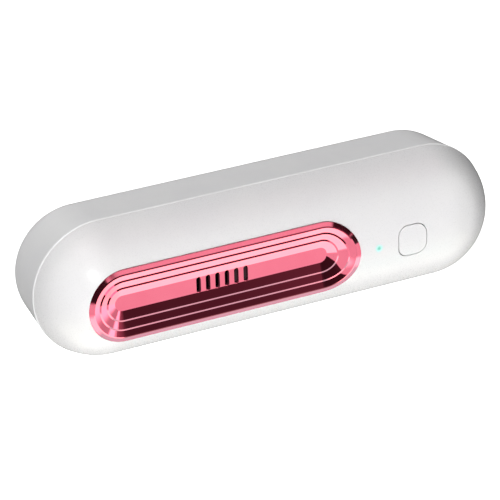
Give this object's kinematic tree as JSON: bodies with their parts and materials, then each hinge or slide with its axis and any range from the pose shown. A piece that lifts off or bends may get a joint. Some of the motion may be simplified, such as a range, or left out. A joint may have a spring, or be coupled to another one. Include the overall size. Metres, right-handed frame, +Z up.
{
  "type": "uv sterilizer unit",
  "caption": "Capsule-shaped wall-held UV steriliser with a domed white shell, a dished pink plated vent tray, vent slots, an indicator light and a push button.",
  "frame": {"origin": "centre of the back pad's outer face, where the unit sits on a wall or cabinet panel", "axes": "+X along the body, +Z up, +Y out of the back towards the wall, front towards -Y"},
  "size_m": [0.1442, 0.042, 0.041],
  "materials": {
    "white_shell": "gloss",
    "grey_shell": "satin",
    "seal": "satin",
    "pad": "matt foam with adhesive",
    "plated_pink": "electroplated plastic, mirror finish",
    "button": "gloss",
    "clear": "polished",
    "black_plastic": "matt",
    "white_plastic": "matt",
    "board": "solder mask",
    "board_white": "solder mask",
    "chip": "matt",
    "steel": "brushed",
    "nickel": "satin",
    "brass": "satin",
    "cell_wrap": "shrink wrap over a steel can",
    "chamber": "polished",
    "lamp": "ceramic and gold",
    "quartz": "polished",
    "copper": "enamelled",
    "magnet": "matt",
    "filter": "open foam",
    "lead": "satin"
  },
  "bodies": {
    "housing": {"front_cover": "white_shell", "rear_case": "grey_shell", "seal_ring": "seal", "adhesive_pad": "pad", "vent_tray": "plated_pink", "tact_switch": "black_plastic", "indicator_lens": "clear", "status_led": "lamp", "main_board": "board", "board_chips": "chip", "board_sockets": "white_plastic", "charge_board": "board", "charge_chips": "chip", "port_shell": "nickel", "port_tongue": "black_plastic", "battery_cell": "cell_wrap", "cell_cradle": "black_plastic", "cell_contacts": "nickel", "uv_chamber": "chamber", "uv_boards": "board_white", "uv_lamps": "lamp", "quartz_windows": "quartz", "fan_frame": "black_plastic", "fan_bearing": "brass", "fan_stator": "copper", "intake_filter": "filter", "case_screws": "steel", "board_screws": "steel", "charge_screws": "steel", "chamber_screws": "steel", "fan_screws": "steel", "fan_lead": "lead", "cell_lead": "lead", "port_lead": "lead"},
    "button": {"power_button": "button", "switch_plunger": "white_plastic"},
    "rotor": {"fan_rotor": "black_plastic", "rotor_magnet": "magnet", "rotor_shaft": "steel"}
  },
  "joints": [
    {"name": "button_press", "type": "slide", "parent": "housing", "child": "button", "axis": [0, 1, 0], "range_m": [0, 0.00045], "stiffness_N_per_m": 3000},
    {"name": "fan_spin", "type": "hinge", "parent": "housing", "child": "rotor", "pos_m": [-0.0198, -0.0235, 0], "axis": [0, 1, 0], "continuous": true}
  ]
}
